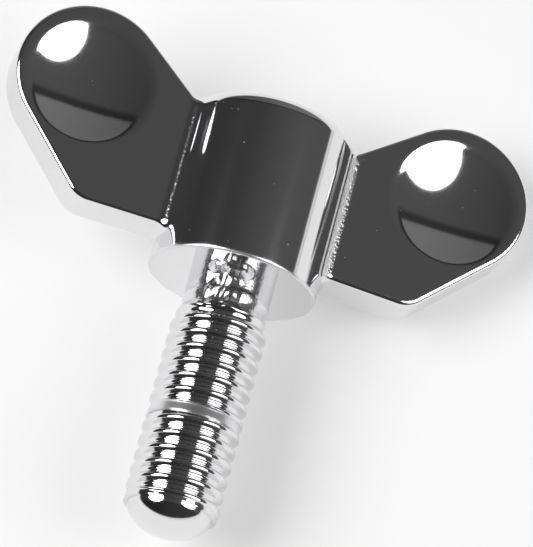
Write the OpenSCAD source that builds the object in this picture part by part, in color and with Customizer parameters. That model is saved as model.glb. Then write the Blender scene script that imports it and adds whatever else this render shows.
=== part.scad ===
// Thumb screw: one die-cast piece with two dished wings, a round barrel and a metric stud.
// Frame: the screw lies on a flat surface, as it comes to rest. Its axis is the Y axis and the
// tip points to -Y. It rests on the barrel and on the lobe of the wing on the +X side.
// The origin is the centre of the seat, the flat face of the barrel that meets the work.

/* [Stud] */
// Major diameter of the thread, across the crests
thread_d = 5.0; // [4.6:0.1:6]
// Length of the stud from the seat to the end of its domed tip
stud_len = 14.1; // [12:0.1:40]
// Diameter of the plain neck next to the seat
neck_d = 4.4; // [3.6:0.1:4.6]
// Length of the plain neck
neck_len = 2.1; // [1.2:0.1:6]
// Length of the cone between the neck and the thread
neck_cone = 0.25; // [0.1:0.05:0.6]
// Diameter of the tip where its dome starts
tip_d = 4.4; // [3.6:0.1:4.6]
// Height of the domed tip
tip_h = 1.4; // [0.8:0.1:2]

/* [Barrel] */
// Diameter of the barrel
barrel_d = 8.8; // [7.6:0.1:13]
// Length of the barrel from the seat to its far end
barrel_len = 9.15; // [8.8:0.05:16]
// Radius of the rounded edge round the seat
seat_edge_r = 0.3; // [0.1:0.05:1]
// Radius of the rounded edge round the far end
head_edge_r = 0.9; // [0.2:0.1:2]

/* [Wings] */
// Thickness of each wing
wing_t = 2.7; // [2:0.1:4]
// Overall width across both wings
wing_span = 27.85; // [25:0.05:36]
// Radius of the round lobe at the end of each wing
lobe_r = 3.95; // [3.6:0.05:5]
// Height of the middle of the lobe above the seat
lobe_y = 7.9; // [6.5:0.1:11]
// Height of the rounded lower corner of each wing above the seat
wing_low_y = 1.35; // [0.5:0.05:2.4]
// Height above the seat at which the lower edge of each wing meets the barrel
root_low_y = 1.45; // [0.5:0.05:2.4]
// Height above the seat at which the upper edge of each wing meets the barrel
notch_y = 7.9; // [6:0.1:8.2]
// Distance from the axis to the middle of the rounded lower corner
corner_x = 8.45; // [7:0.05:10]
// Radius of the rounded lower corner
corner_r = 1.5; // [0.8:0.1:2.4]
// Radius of the rounded edges round the faces of each wing
wing_edge_r = 0.25; // [0.15:0.05:0.6]
// Radius of the hollow fillet between each wing and the barrel
root_r = 0.55; // [0.3:0.05:1]

/* [Finger dishes] */
// Diameter of the rim of the round dish in each wing
dish_d = 6.5; // [5:0.1:7]
// Depth of each dish
dish_depth = 0.65; // [0.3:0.05:0.9]

/* [Hidden] */
// Half sizes
barrel_r = barrel_d / 2;
half_t = wing_t / 2;
lobe_x = wing_span / 2 - lobe_r;
corner_y = wing_low_y + corner_r;
// Facets of a full turn, and of one quarter of a rounded edge
turn_fn = 96;
disc_fn = 48;
edge_steps = 5;
dome_steps = 12;
// Where the stud's stretches end, measured from the seat
thread_start = neck_len + neck_cone;
thread_end = stud_len - tip_h;
tip_chamfer = (thread_d - tip_d) / 2;
// Where each wing's plate starts inside the barrel
root_x = barrel_r * 0.8;
// How squarely the tip turns over: 1 is an ellipse, more is nearer to a cone
tip_power = 1.14;
// Middle of the fillet that touches the wing's face and the barrel
root_z = half_t + root_r;
root_mid_x = sqrt(pow(barrel_r + root_r, 2) - pow(root_z, 2));
root_start = atan2(root_z, root_mid_x) + 180;
root_steps = 8;
// Radius of the sphere that cuts a dish
dish_r = dish_d / 2;
dish_ball_r = (pow(dish_r, 2) + pow(dish_depth, 2)) / (2 * dish_depth);
// Roll about the axis at which the lobe's rounded edge is as low as the barrel
edge_x = wing_span / 2 - wing_edge_r;
edge_z = half_t - wing_edge_r;
rest_roll = asin((barrel_r - wing_edge_r) / norm([edge_x, edge_z])) - atan2(edge_z, edge_x);

// Points of a quarter turn of radius r about (x, y), from angle a to a + 90
function quarter(x, y, r, a) =
    [for (i = [0 : edge_steps]) [x + r * cos(a + 90 * i / edge_steps), y + r * sin(a + 90 * i / edge_steps)]];

// Turns a half section, drawn as (radius, height above the seat), about the screw's axis
module turned() {
    rotate([-90, 0, 0]) rotate_extrude($fn = turn_fn) children();
}

// Barrel with its two rounded ends
module barrel() {
    turned() polygon(concat(
        [[0, barrel_len], [0, 0]],
        quarter(barrel_r - seat_edge_r, seat_edge_r, seat_edge_r, -90),
        quarter(barrel_r - head_edge_r, barrel_len - head_edge_r, head_edge_r, 0)
    ));
}

// Stud: neck, threaded length and domed tip. It starts inside the barrel.
module stud() {
    neck_r = neck_d / 2;
    thread_r = thread_d / 2;
    tip_r = tip_d / 2;
    turned() polygon(concat(
        [[0, barrel_len / 2], [neck_r, barrel_len / 2]],
        [[neck_r, -neck_len], [thread_r, -thread_start]],
        [[thread_r, -thread_end + tip_chamfer], [tip_r, -thread_end]],
        [for (i = [1 : dome_steps - 1])
            let (a = 90 * i / dome_steps)
            [tip_r * pow(cos(a), tip_power), -thread_end - tip_h * pow(sin(a), tip_power)]],
        [[0, -stud_len]]
    ));
}

// Upright disc with rounded edges, one wing thick
module rounded_disc(r) {
    e = wing_edge_r;
    rotate_extrude($fn = disc_fn) polygon(concat(
        [[0, -half_t]],
        quarter(r - e, e - half_t, e, -90),
        quarter(r - e, half_t - e, e, 0),
        [[0, half_t]]
    ));
}

// Plate of the wing on the +X side, with its lobe, corner and straight edges
module wing_plate() {
    hull() {
        translate([lobe_x, lobe_y, 0]) rounded_disc(lobe_r);
        translate([corner_x, corner_y, 0]) rounded_disc(corner_r);
        translate([root_x, root_low_y, wing_edge_r - half_t])
            cube([wing_edge_r, notch_y - root_low_y, wing_t - 2 * wing_edge_r]);
        translate([root_x, root_low_y + wing_edge_r, -half_t])
            cube([wing_edge_r, notch_y - root_low_y - 2 * wing_edge_r, wing_t]);
    }
}

// Hollow fillets between the wing and the barrel, above and below the plate
module wing_root() {
    translate([0, notch_y - wing_edge_r, 0]) rotate([90, 0, 0])
        linear_extrude(notch_y - root_low_y - 2 * wing_edge_r)
            for (side = [0, 1]) mirror([0, side]) polygon(concat(
                [[root_x, 0], [root_mid_x, 0]],
                [for (i = [root_steps : -1 : 0])
                    let (a = root_start + (270 - root_start) * i / root_steps)
                    [root_mid_x + root_r * cos(a), root_z + root_r * sin(a)]]
            ));
}

// One wing on the +X side, with a shallow dish for the thumb or finger in each face
module wing() {
    difference() {
        union() {
            wing_plate();
            wing_root();
        }
        for (side = [0, 1]) mirror([0, 0, side])
            translate([lobe_x, lobe_y, half_t - dish_depth + dish_ball_r]) sphere(dish_ball_r, $fn = turn_fn);
    }
}

// The whole screw, cast in one piece and rolled over onto one wing
module thumb_screw() {
    color("silver") rotate([0, rest_roll, 0]) union() {
        barrel();
        stud();
        for (side = [0, 1]) mirror([side, 0, 0]) wing();
    }
}

thumb_screw();
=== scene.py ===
"""Thumb screw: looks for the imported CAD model. Lengths in the shape code are millimetres."""
import math

import bpy
import numpy as np
from mathutils import Matrix, Vector


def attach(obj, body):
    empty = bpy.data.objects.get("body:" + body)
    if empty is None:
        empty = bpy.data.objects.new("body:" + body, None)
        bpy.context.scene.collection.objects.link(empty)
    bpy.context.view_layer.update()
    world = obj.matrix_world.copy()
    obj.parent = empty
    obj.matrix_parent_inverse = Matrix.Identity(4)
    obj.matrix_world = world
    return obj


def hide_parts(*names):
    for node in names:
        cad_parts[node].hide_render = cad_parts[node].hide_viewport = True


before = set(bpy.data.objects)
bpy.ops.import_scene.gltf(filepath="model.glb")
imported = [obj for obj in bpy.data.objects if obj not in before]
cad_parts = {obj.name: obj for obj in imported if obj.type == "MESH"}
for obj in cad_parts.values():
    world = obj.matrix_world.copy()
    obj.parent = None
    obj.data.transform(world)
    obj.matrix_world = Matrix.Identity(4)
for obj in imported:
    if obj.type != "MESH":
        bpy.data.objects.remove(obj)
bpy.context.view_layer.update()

MM = 0.001

# Sizes as in the part's source, apart from SEAT_EDGE, DISH_R, DISH_Y, THREAD_R and END_Y, which
# were fitted to the photo once more or keep the looks just inside the solid's box
BARREL_R, BARREL_LEN = 4.4, 9.15
SEAT_EDGE, HEAD_EDGE = 0.12, 0.9
HALF_T, SPAN = 1.35, 27.85
LOBE_R, LOBE_Y = 3.95, 7.9
LOBE_X = SPAN / 2 - LOBE_R
CORNER_X, CORNER_R, LOW_Y = 8.45, 1.5, 1.35
ROOT_X, ROOT_LOW_Y, NOTCH_Y = BARREL_R * 0.8, 1.45, 7.9
WING_EDGE, ROOT_FILLET = 0.25, 0.55
DISH_R, DISH_DEPTH, DISH_Y = 3.3, 0.65, 7.7
DISH_RIM = 0.1
NECK_R, THREAD_R, PITCH = 2.2, 2.48, 0.8
TIP_R, TIP_Y, END_Y, TIP_POWER = 2.2, -12.7, -14.08, 1.14

# The roll at which the lobe's rounded edge is as low as the barrel
EDGE_X, EDGE_Z = SPAN / 2 - WING_EDGE, HALF_T - WING_EDGE
ROLL = math.asin((BARREL_R - WING_EDGE) / math.hypot(EDGE_X, EDGE_Z)) - math.atan2(EDGE_Z, EDGE_X)
TURN = np.array([[math.cos(ROLL), 0, math.sin(ROLL)], [0, 1, 0], [-math.sin(ROLL), 0, math.cos(ROLL)]])

# Box and cell of the net that finds the casting's surface
NET_LOW, NET_HIGH, NET_CELL = (-14.3, -0.4, -4.7), (14.3, 12.2, 4.7), 0.1
# Facets round the stud, and the distance between the rows of its points
AROUND, ROW_STEP = 112, 0.0177

# Section of the thread: lean of the flanks in degrees, then the radii of the root, of the crest's
# corners and of its cap, and half the cap's width
FLANK = 60.0
ROOT_ROUND, CREST_ROUND, CREST_CAP, CAP_HALF = 0.2, 0.06, 0.35, 0.07
# One point in the middle of the groove, as its y and its azimuth
GROOVE_Y, GROOVE_PHI = -3.763 * PITCH, 9.5
# Smooth band across the thread: its two ends, and its radius at BAND_MID, which grows by BAND_CONE
# for each millimetre towards the tip
BAND_TOP, BAND_END = -7.56, -8.14
BAND_R, BAND_MID, BAND_CONE = 2.36, -7.6, 0.17
# The groove next to the band is half filled, a little more on one side
HALF_TOP, HALF_END = -8.06, -8.5
HALF_R, HALF_MORE, HALF_PHI = 2.3, 0.06, 100
# Plain ring above the tip
RING_TOP, RING_R = -12.42, 2.4


# ---------- shape of the casting, as a signed distance ----------

def hull_circles():
    """Circles whose hull is the wing's outline: lobe, corner and the two ends of the root."""
    return [(LOBE_X, LOBE_Y, LOBE_R), (CORNER_X, LOW_Y + CORNER_R, CORNER_R),
            (ROOT_X, ROOT_LOW_Y, 0.0), (ROOT_X, NOTCH_Y, 0.0)]


def hull_support(circles):
    """The hull's straight edges as (normal, offset), and the circle that is outermost in each direction."""
    a = np.linspace(-math.pi, math.pi, 14401)[:-1]
    n = np.stack([np.cos(a), np.sin(a)], 1)
    h = np.stack([n @ np.array(c[:2]) + c[2] for c in circles], 1)
    best = h.argmax(1)
    change = np.nonzero(best != np.roll(best, 1))[0]
    return [(n[i], h[i].max()) for i in change], best


LINES, BEST = hull_support(hull_circles())


def outline(x, y):
    """Signed distance to the wing's outline in its own plane."""
    d = np.full(x.shape, -1e9)
    for n, h in LINES:
        d = np.maximum(d, n[0] * x + n[1] * y - h)
    for i, (cx, cy, r) in enumerate(hull_circles()):
        ux, uy = x - cx, y - cy
        k = np.floor((np.arctan2(uy, ux) + math.pi) / (2 * math.pi) * len(BEST)).astype(int) % len(BEST)
        d = np.where(BEST[k] == i, np.maximum(d, np.hypot(ux, uy) - r), d)
    return d


def rounded(p, q, e):
    """Distance to a box-like corner with its edge rounded to radius e."""
    return np.hypot(np.maximum(p + e, 0), np.maximum(q + e, 0)) + np.minimum(np.maximum(p + e, q + e), 0) - e


def round_union(a, b, r):
    """Union of two solids with a hollow fillet of radius r between them."""
    return np.maximum(r, np.minimum(a, b)) - np.hypot(np.maximum(r - a, 0), np.maximum(r - b, 0))


def soft_cut(a, b, r):
    """a without b, with the rim rounded over to radius r."""
    return np.minimum(-r, np.maximum(a, -b)) + np.hypot(np.maximum(r + a, 0), np.maximum(r - b, 0))


def casting(P):
    """Signed distance to the barrel and both wings."""
    x, y, z = np.abs(P[:, 0]), P[:, 1], P[:, 2]
    e = np.where(y < BARREL_LEN / 2, SEAT_EDGE, HEAD_EDGE)
    barrel = rounded(np.hypot(x, z) - BARREL_R, np.abs(y - BARREL_LEN / 2) - BARREL_LEN / 2, e)
    wing = rounded(outline(x, y), np.abs(z) - HALF_T, WING_EDGE)
    ball = (DISH_R ** 2 + DISH_DEPTH ** 2) / (2 * DISH_DEPTH)
    hollow = np.sqrt((x - LOBE_X) ** 2 + (y - DISH_Y) ** 2 + (np.abs(z) - HALF_T + DISH_DEPTH - ball) ** 2) - ball
    return round_union(barrel, soft_cut(wing, hollow, DISH_RIM), ROOT_FILLET)


def slope(f, P, h=0.004):
    """Gradient of f at each point."""
    g = [(f(P + d) - f(P - d)) / (2 * h) for d in np.eye(3) * h]
    return np.stack(g, 1)


def net_points(V, low, step):
    """One point for each cell that the surface V = 0 crosses, and the number of each cell's point."""
    n = [s - 1 for s in V.shape]
    total = np.zeros(n + [3])
    count = np.zeros(n)
    for c in [(i, j, k) for i in (0, 1) for j in (0, 1) for k in (0, 1)]:
        for ax in range(3):
            if c[ax]:
                continue
            d = list(c)
            d[ax] = 1
            a = V[c[0]:c[0] + n[0], c[1]:c[1] + n[1], c[2]:c[2] + n[2]]
            b = V[d[0]:d[0] + n[0], d[1]:d[1] + n[1], d[2]:d[2] + n[2]]
            cross = (a < 0) != (b < 0)
            t = np.where(cross, a / np.where(cross, a - b, 1), 0)
            for m in range(3):
                total[..., m] += np.where(cross, c[m] + (t if m == ax else 0), 0)
            count += cross
    used = count > 0
    index = np.full(n, -1)
    index[used] = np.arange(used.sum())
    cells = np.stack(np.nonzero(used), 1)
    return np.array(low) + (cells + total[used] / count[used][:, None]) * step, index


def net_quads(inside, index):
    """A quad round each edge of the grid that the surface crosses, with its corners turned outwards."""
    n = index.shape
    quads = []
    for ax in range(3):
        o, u = (ax + 1) % 3, (ax + 2) % 3
        a = inside.take(range(n[ax]), ax)
        b = inside.take(range(1, n[ax] + 1), ax)
        for sign in (True, False):
            at = np.stack(np.nonzero((a != b) & (a == sign)), 1)
            at = at[(at[:, o] > 0) & (at[:, u] > 0) & (at[:, o] < n[o]) & (at[:, u] < n[u])]
            ring = []
            for du, do in ((0, 0), (0, 1), (1, 1), (1, 0)):
                q = at.copy()
                q[:, o] -= do
                q[:, u] -= du
                ring.append(index[q[:, 0], q[:, 1], q[:, 2]])
            ring = np.stack(ring, 1)
            quads.append(ring if not sign else ring[:, ::-1])
    return np.concatenate(quads)


def surface_net(f, low, high, step):
    """Quads on the surface f = 0, with their points moved onto it, and the normals there."""
    axes = [np.arange(a, b + step, step) for a, b in zip(low, high)]
    X, Y, Z = np.meshgrid(*axes, indexing="ij")
    V = f(np.stack([X.ravel(), Y.ravel(), Z.ravel()], 1)).reshape(X.shape)
    P, index = net_points(V, low, step)
    quads = net_quads(V < 0, index)
    for _ in range(4):
        g = slope(f, P)
        P = P - g * (f(P) / np.maximum((g ** 2).sum(1), 0.2))[:, None]
    g = slope(f, P)
    return P, quads, g / np.linalg.norm(g, axis=1)[:, None]


# ---------- shape of the stud, as a radius round the axis ----------

def ease(t):
    """Smooth step from 0 to 1."""
    t = np.clip(t, 0, 1)
    return t * t * (3 - 2 * t)


def below(y, top, run):
    """0 above top, easing to 1 at a distance run under it."""
    return ease((top - y) / run)


def above(y, end, run):
    """0 under end, easing to 1 at a distance run above it."""
    return ease((y - end) / run)


def thread_profile():
    """Radius of the thread by distance from the middle of its groove: rounded root, flank, slightly domed crest."""
    s = np.linspace(0, PITCH / 2, 801)
    to_crest = PITCH / 2 - s
    cap = np.minimum(to_crest, CAP_HALF) / CREST_CAP + np.maximum(to_crest - CAP_HALF, 0) / CREST_ROUND
    lean = np.arcsin(np.minimum(np.minimum(s / ROOT_ROUND, cap), math.sin(math.radians(FLANK))))
    rise = np.concatenate([[0], np.cumsum((np.tan(lean[1:]) + np.tan(lean[:-1])) / 2 * (s[1] - s[0]))])
    return s, THREAD_R + rise - rise[-1]


PROFILE = thread_profile()


def stud_radius(phi, y):
    """Radius of the stud at azimuth phi (degrees from +X towards +Z) and y below the seat."""
    turns = (GROOVE_Y - y) / PITCH - (phi - GROOVE_PHI) / 360
    full = np.interp(np.abs(turns - np.round(turns)) * PITCH, *PROFILE)
    # the thread fades in, with faint first turns on the neck
    run = 0.1 * below(y, -0.5, 0.6) + 0.9 * below(y, -1.75, 1.0)
    r = NECK_R + (full - NECK_R) * run
    band = below(y, BAND_TOP, 0.08) * above(y, BAND_END, 0.08)
    r = r + (BAND_R + BAND_CONE * (BAND_MID - y) - r) * band
    half = below(y, HALF_TOP, 0.08) * above(y, HALF_END, 0.12)
    r = np.maximum(r, (HALF_R + HALF_MORE * np.cos(np.radians(phi - HALF_PHI))) * half)
    r = r + drips(phi, y)
    return r + (RING_R - r) * below(y, RING_TOP, 0.12)


def drips(phi, y):
    """Height of the cast apron under the seat and of the runs of metal on the front of the neck."""
    rng = np.random.RandomState(7)
    waves = ((0.05, 6), (0.035, 11), (0.03, 17), (0.02, 31))
    wave = sum(a * np.sin(np.radians(phi * m) + a * 90) for a, m in waves)
    apron = np.clip((y + 0.42 + wave) * 1.75, 0, 0.5) * np.exp(-((phi - 104) / 26) ** 6)
    runs = np.zeros(phi.shape)
    for _ in range(22):
        across, down = rng.uniform(6, 26), rng.uniform(0.7, 5.0) * rng.choice((-1, 1))
        runs += rng.uniform(0.006, 0.02) * np.sin(np.radians(phi) * across + down * y + rng.uniform(0, 6.3))
    front = np.exp(-((phi - 106) / 27) ** 6)
    return (apron + runs * front) * above(y, -2.5, 0.5)


def stud_mesh():
    """Rows of points that follow the thread from inside the barrel to the domed end, with their normals."""
    phi = np.linspace(-90, 270, AROUND + 1)
    ys = np.arange(0.6, TIP_Y, -ROW_STEP)
    # the rows tilt with the thread, and lie level at both ends
    follow = below(ys, 0.3, 0.7) * above(ys, -12.66, 0.9)
    A, Yg = np.meshgrid(phi, ys)
    Yg = Yg - PITCH * (A - 90) / 360 * follow[:, None]
    Rg = stud_radius(A, Yg)
    h, turn = 0.003, 0.2
    dr_dy = (stud_radius(A, Yg + h) - stud_radius(A, Yg - h)) / (2 * h)
    dr_da = (stud_radius(A + turn, Yg) - stud_radius(A - turn, Yg)) / math.radians(2 * turn)
    # the dome, almost to its pole
    a = np.radians(np.linspace(0, 89.2, 36))[:, None] + 0 * phi
    dome_r = TIP_R * np.cos(a) ** TIP_POWER
    dome_y = TIP_Y + (END_Y - TIP_Y) * np.sin(a) ** TIP_POWER
    lean = np.gradient(dome_r, axis=0) / np.gradient(dome_y, axis=0)
    Rg, Yg, A = (np.concatenate(v) for v in ((Rg, dome_r), (Yg, dome_y), (A, 0 * a + phi)))
    dr_dy, dr_da = np.concatenate([dr_dy, lean]), np.concatenate([dr_da, 0 * a])
    c, s = np.cos(np.radians(A)), np.sin(np.radians(A))
    P = np.stack([Rg * c, Yg, Rg * s], 2)
    N = np.stack([c + dr_da / Rg * s, -dr_dy, s - dr_da / Rg * c], 2)
    N /= np.linalg.norm(N, axis=2)[..., None]
    m, n = P.shape[:2]
    i = np.arange(m - 1)[:, None] * n
    j = np.arange(n - 1)[None]
    quads = np.stack([i + j, i + j + 1, i + n + j + 1, i + n + j], 2).reshape(-1, 4)
    caps = [list(range(n - 1))[::-1], [(m - 1) * n + q for q in range(n - 1)]]
    return P.reshape(-1, 3), quads, N.reshape(-1, 3), caps


def build(name, P, quads, N, caps, grain, dull):
    """Blender object in the shared frame, rolled onto its wing and shaded with the true normals."""
    P, N = P @ TURN.T, N @ TURN.T
    mesh = bpy.data.meshes.new(name)
    mesh.from_pydata((P * MM).tolist(), [], quads.tolist() + [list(c) for c in caps])
    mesh.validate()
    # all faces look outwards
    a, b, c = (P[quads[:, i]] for i in (0, 1, 2))
    if (np.cross(b - a, c - a) * N[quads[:, 0]]).sum() < 0:
        mesh.flip_normals()
    for poly in mesh.polygons:
        poly.use_smooth = True
    mesh.update()
    mesh.normals_split_custom_set_from_vertices(N.tolist())
    for key, value in (("grain", grain), ("dull", dull)):
        mesh.attributes.new(key, "FLOAT", "POINT").data.foreach_set("value", value.astype(np.float32))
    obj = bpy.data.objects.new(name, mesh)
    bpy.context.scene.collection.objects.link(obj)
    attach(obj, "root")
    return obj


# ---------- materials ----------

def node(tree, kind, **values):
    """New shader node. Each value goes to the input of that name, or else to the node's own setting."""
    n = tree.nodes.new(kind)
    for k, v in values.items():
        if k in n.inputs:
            n.inputs[k].default_value = v
        else:
            setattr(n, k, v)
    return n


def map_range(tree, value, low, high, at_low, at_high, **settings):
    """A value that runs from at_low to at_high as its input goes from low to high."""
    n = node(tree, "ShaderNodeMapRange", **settings)
    for k, v in (("From Min", low), ("From Max", high), ("To Min", at_low), ("To Max", at_high)):
        n.inputs[k].default_value = v
    tree.links.new(value, n.inputs["Value"])
    return n.outputs["Result"]


def math_of(tree, how, a, b, **settings):
    """Result of a math node on two sockets."""
    n = node(tree, "ShaderNodeMath", operation=how, **settings)
    tree.links.new(a, n.inputs[0])
    tree.links.new(b, n.inputs[1])
    return n.outputs[0]


def material(name):
    """New material with nothing in its tree but the output, and that output's surface socket."""
    m = bpy.data.materials.new(name)
    m.use_nodes = True
    m.node_tree.nodes.clear()
    return m, m.node_tree, node(m.node_tree, "ShaderNodeOutputMaterial").inputs["Surface"]


def chrome():
    """Bright plating: mirror faces with a faint orange peel and fine specks, grainy and duller where marked."""
    m, t, surface = material("chrome_plating")
    link = t.links.new
    bsdf = node(t, "ShaderNodeBsdfPrincipled", Metallic=1.0)
    bsdf.inputs["Base Color"].default_value = (0.80, 0.80, 0.81, 1)
    link(bsdf.outputs["BSDF"], surface)
    at = node(t, "ShaderNodeTexCoord").outputs["Object"]
    peel = node(t, "ShaderNodeTexNoise", Scale=900.0, Detail=2.0)
    peel_bump = node(t, "ShaderNodeBump", Strength=0.05, Distance=0.00004)
    link(at, peel.inputs["Vector"])
    link(peel.outputs["Fac"], peel_bump.inputs["Height"])
    cast = node(t, "ShaderNodeTexNoise", Scale=6500.0, Detail=3.0)
    cast_bump = node(t, "ShaderNodeBump", Distance=0.00012)
    link(at, cast.inputs["Vector"])
    link(cast.outputs["Fac"], cast_bump.inputs["Height"])
    link(node(t, "ShaderNodeAttribute", attribute_name="grain").outputs["Fac"], cast_bump.inputs["Strength"])
    link(peel_bump.outputs["Normal"], cast_bump.inputs["Normal"])
    link(cast_bump.outputs["Normal"], bsdf.inputs["Normal"])
    speck = node(t, "ShaderNodeTexVoronoi", Scale=1500.0)
    link(at, speck.inputs["Vector"])
    rough = map_range(t, speck.outputs["Distance"], 0.03, 0.09, 0.28, 0.075)
    worn = node(t, "ShaderNodeAttribute", attribute_name="dull").outputs["Fac"]
    link(math_of(t, "ADD", rough, worn), bsdf.inputs["Roughness"])
    return m


def paper(white=0.93, own_share=0.46):
    """White paper that keeps its shadows: a share of its white is its own for the camera and the mirrors."""
    m, t, surface = material("paper")
    link = t.links.new
    flat = node(t, "ShaderNodeBsdfDiffuse", Color=(white, white, white, 1))
    own = node(t, "ShaderNodeEmission", Color=(white, white, white, 1), Strength=1.0)
    path = node(t, "ShaderNodeLightPath").outputs
    seen = math_of(t, "ADD", path["Is Camera Ray"], path["Is Glossy Ray"], use_clamp=True)
    seen = math_of(t, "ADD", seen, path["Is Transmission Ray"], use_clamp=True)
    share = node(t, "ShaderNodeMath", operation="MULTIPLY")
    share.inputs[1].default_value = own_share
    link(seen, share.inputs[0])
    mix = node(t, "ShaderNodeMixShader")
    link(share.outputs[0], mix.inputs[0])
    link(flat.outputs["BSDF"], mix.inputs[1])
    link(own.outputs["Emission"], mix.inputs[2])
    link(mix.outputs["Shader"], surface)
    return m


# ---------- pieces ----------

body_P, body_Q, body_N = surface_net(casting, NET_LOW, NET_HIGH, NET_CELL)
# the as-cast surface shows in the hollow between wing and barrel, more on the +X side
in_root = np.exp(-((np.abs(body_P[:, 0]) - BARREL_R + 0.05) / 0.17) ** 2)
in_root *= (body_P[:, 2] > 0) & (body_P[:, 1] > ROOT_LOW_Y) & (body_P[:, 1] < NOTCH_Y + 0.3)
in_root *= np.where(body_P[:, 0] > 0, 0.7, 0.12)
# the plating is duller there and round the seat's edge
on_edge = np.exp(-((np.hypot(body_P[:, 0], body_P[:, 2]) - BARREL_R) / 0.12) ** 2 - (body_P[:, 1] / 0.14) ** 2)
body = build("casting", body_P, body_Q, body_N, (), in_root, 0.3 * in_root + 0.4 * on_edge)

stud_P, stud_Q, stud_N, stud_caps = stud_mesh()
# the front of the neck is raw, and the band is satin
on_neck = above(stud_P[:, 1], -2.3, 0.4) * (stud_P[:, 2] > 0.3)
on_band = below(stud_P[:, 1], BAND_TOP + 0.02, 0.06) * above(stud_P[:, 1], BAND_END - 0.02, 0.06)
stud = build("stud", stud_P, stud_Q, stud_N, stud_caps, 0.12 * on_neck, 0.1 * on_neck + 0.26 * on_band)

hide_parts("thumb_screw")
plating = chrome()
for piece in (body, stud):
    piece.data.materials.append(plating)

# ---------- floor ----------

FLOOR_Z, FLOOR_HALF = -BARREL_R * MM, 2
mesh = bpy.data.meshes.new("floor")
corners = [(x * FLOOR_HALF, y * FLOOR_HALF, FLOOR_Z) for x, y in ((-1, -1), (1, -1), (1, 1), (-1, 1))]
mesh.from_pydata(corners, [], [(0, 1, 2, 3)])
floor = bpy.data.objects.new("floor", mesh)
bpy.context.scene.collection.objects.link(floor)
floor.data.materials.append(paper())


# ---------- light ----------

def softbox(name, towards, spread, power, far):
    """Oval area light in a direction from the screw, far metres away and as wide as spread says in degrees."""
    d = Vector(towards).normalized()
    light = bpy.data.lights.new(name, "AREA")
    light.shape = "ELLIPSE"
    light.size, light.size_y = (2 * far * math.tan(math.radians(a / 2)) for a in spread)
    light.energy = power
    y_axis = Vector((0, 1, 0))
    long_way = (y_axis - y_axis.dot(d) * d).normalized()
    lamp = bpy.data.objects.new(name, light)
    turned = Matrix((long_way.cross(d), long_way, d)).transposed().to_4x4()
    lamp.matrix_world = Matrix.Translation(d * far) @ turned
    bpy.context.scene.collection.objects.link(lamp)


softbox("box_right", (0.735, -0.04, 0.67), (41, 43), 0.28, far=0.25)
softbox("box_left", (-0.636, -0.14, 0.758), (39, 50), 1.74, far=0.4)

# A dim room, a little lighter to the right and behind the screw, with white all round below the horizon
world = bpy.data.worlds.new("room")
bpy.context.scene.world = world
world.use_nodes = True
wt = world.node_tree
wt.nodes.clear()
w_out = node(wt, "ShaderNodeOutputWorld")
w_bg = node(wt, "ShaderNodeBackground")
w_way = node(wt, "ShaderNodeSeparateXYZ")
wt.links.new(node(wt, "ShaderNodeTexCoord").outputs["Generated"], w_way.inputs["Vector"])


def band_of(axis, low, high, at_low, at_high):
    """A value that eases from at_low to at_high as the direction's axis part goes from low to high."""
    return map_range(wt, w_way.outputs[axis], low, high, at_low, at_high, interpolation_type="SMOOTHSTEP")


side = band_of("X", -0.7, 0.8, 0.038, 0.085)
back = math_of(wt, "MULTIPLY", band_of("Y", 0.56, 0.63, 1.0, 0.4), band_of("Y", 0.66, 0.69, 1.0, 5.5))
sky = math_of(wt, "MULTIPLY", math_of(wt, "MULTIPLY", side, back), band_of("Y", -0.5, -0.2, 0.5, 1.0))
horizon = band_of("Z", 0.0, 0.07, 0.85, 0.0)
wt.links.new(math_of(wt, "ADD", sky, horizon), w_bg.inputs["Color"])
wt.links.new(w_bg.outputs["Background"], w_out.inputs["Surface"])

# ---------- camera, solved from the outlines in the photo, in the frame of the unrolled screw ----------

YAW, DOWN, TILT = (math.radians(v) for v in (22.480, 66.688, 39.276))
CAMERA_AT = np.array([-36.600, -91.207, 232.012])
FOCAL_PIXELS, PHOTO_PIXELS = 4932.13, 533

ahead = np.array([math.sin(YAW) * math.cos(DOWN), math.cos(YAW) * math.cos(DOWN), -math.sin(DOWN)])
level = np.array([math.cos(YAW), -math.sin(YAW), 0.0])
upright = np.cross(level, ahead)
right = math.cos(TILT) * level + math.sin(TILT) * upright
up = -math.sin(TILT) * level + math.cos(TILT) * upright
cam_data = bpy.data.cameras.new("camera")
cam_data.sensor_fit = "HORIZONTAL"
cam_data.sensor_width = 36.0
cam_data.lens = FOCAL_PIXELS / PHOTO_PIXELS * cam_data.sensor_width
cam_data.clip_start = 0.01
cam_data.clip_end = 10.0
cam = bpy.data.objects.new("camera", cam_data)
pose = np.eye(4)
pose[:3, :3] = np.stack([TURN @ right, TURN @ up, TURN @ -ahead], 1)
pose[:3, 3] = TURN @ CAMERA_AT * MM
cam.matrix_world = Matrix(pose.tolist())
bpy.context.scene.collection.objects.link(cam)
bpy.context.scene.camera = cam
bpy.context.scene.view_settings.view_transform = "Standard"
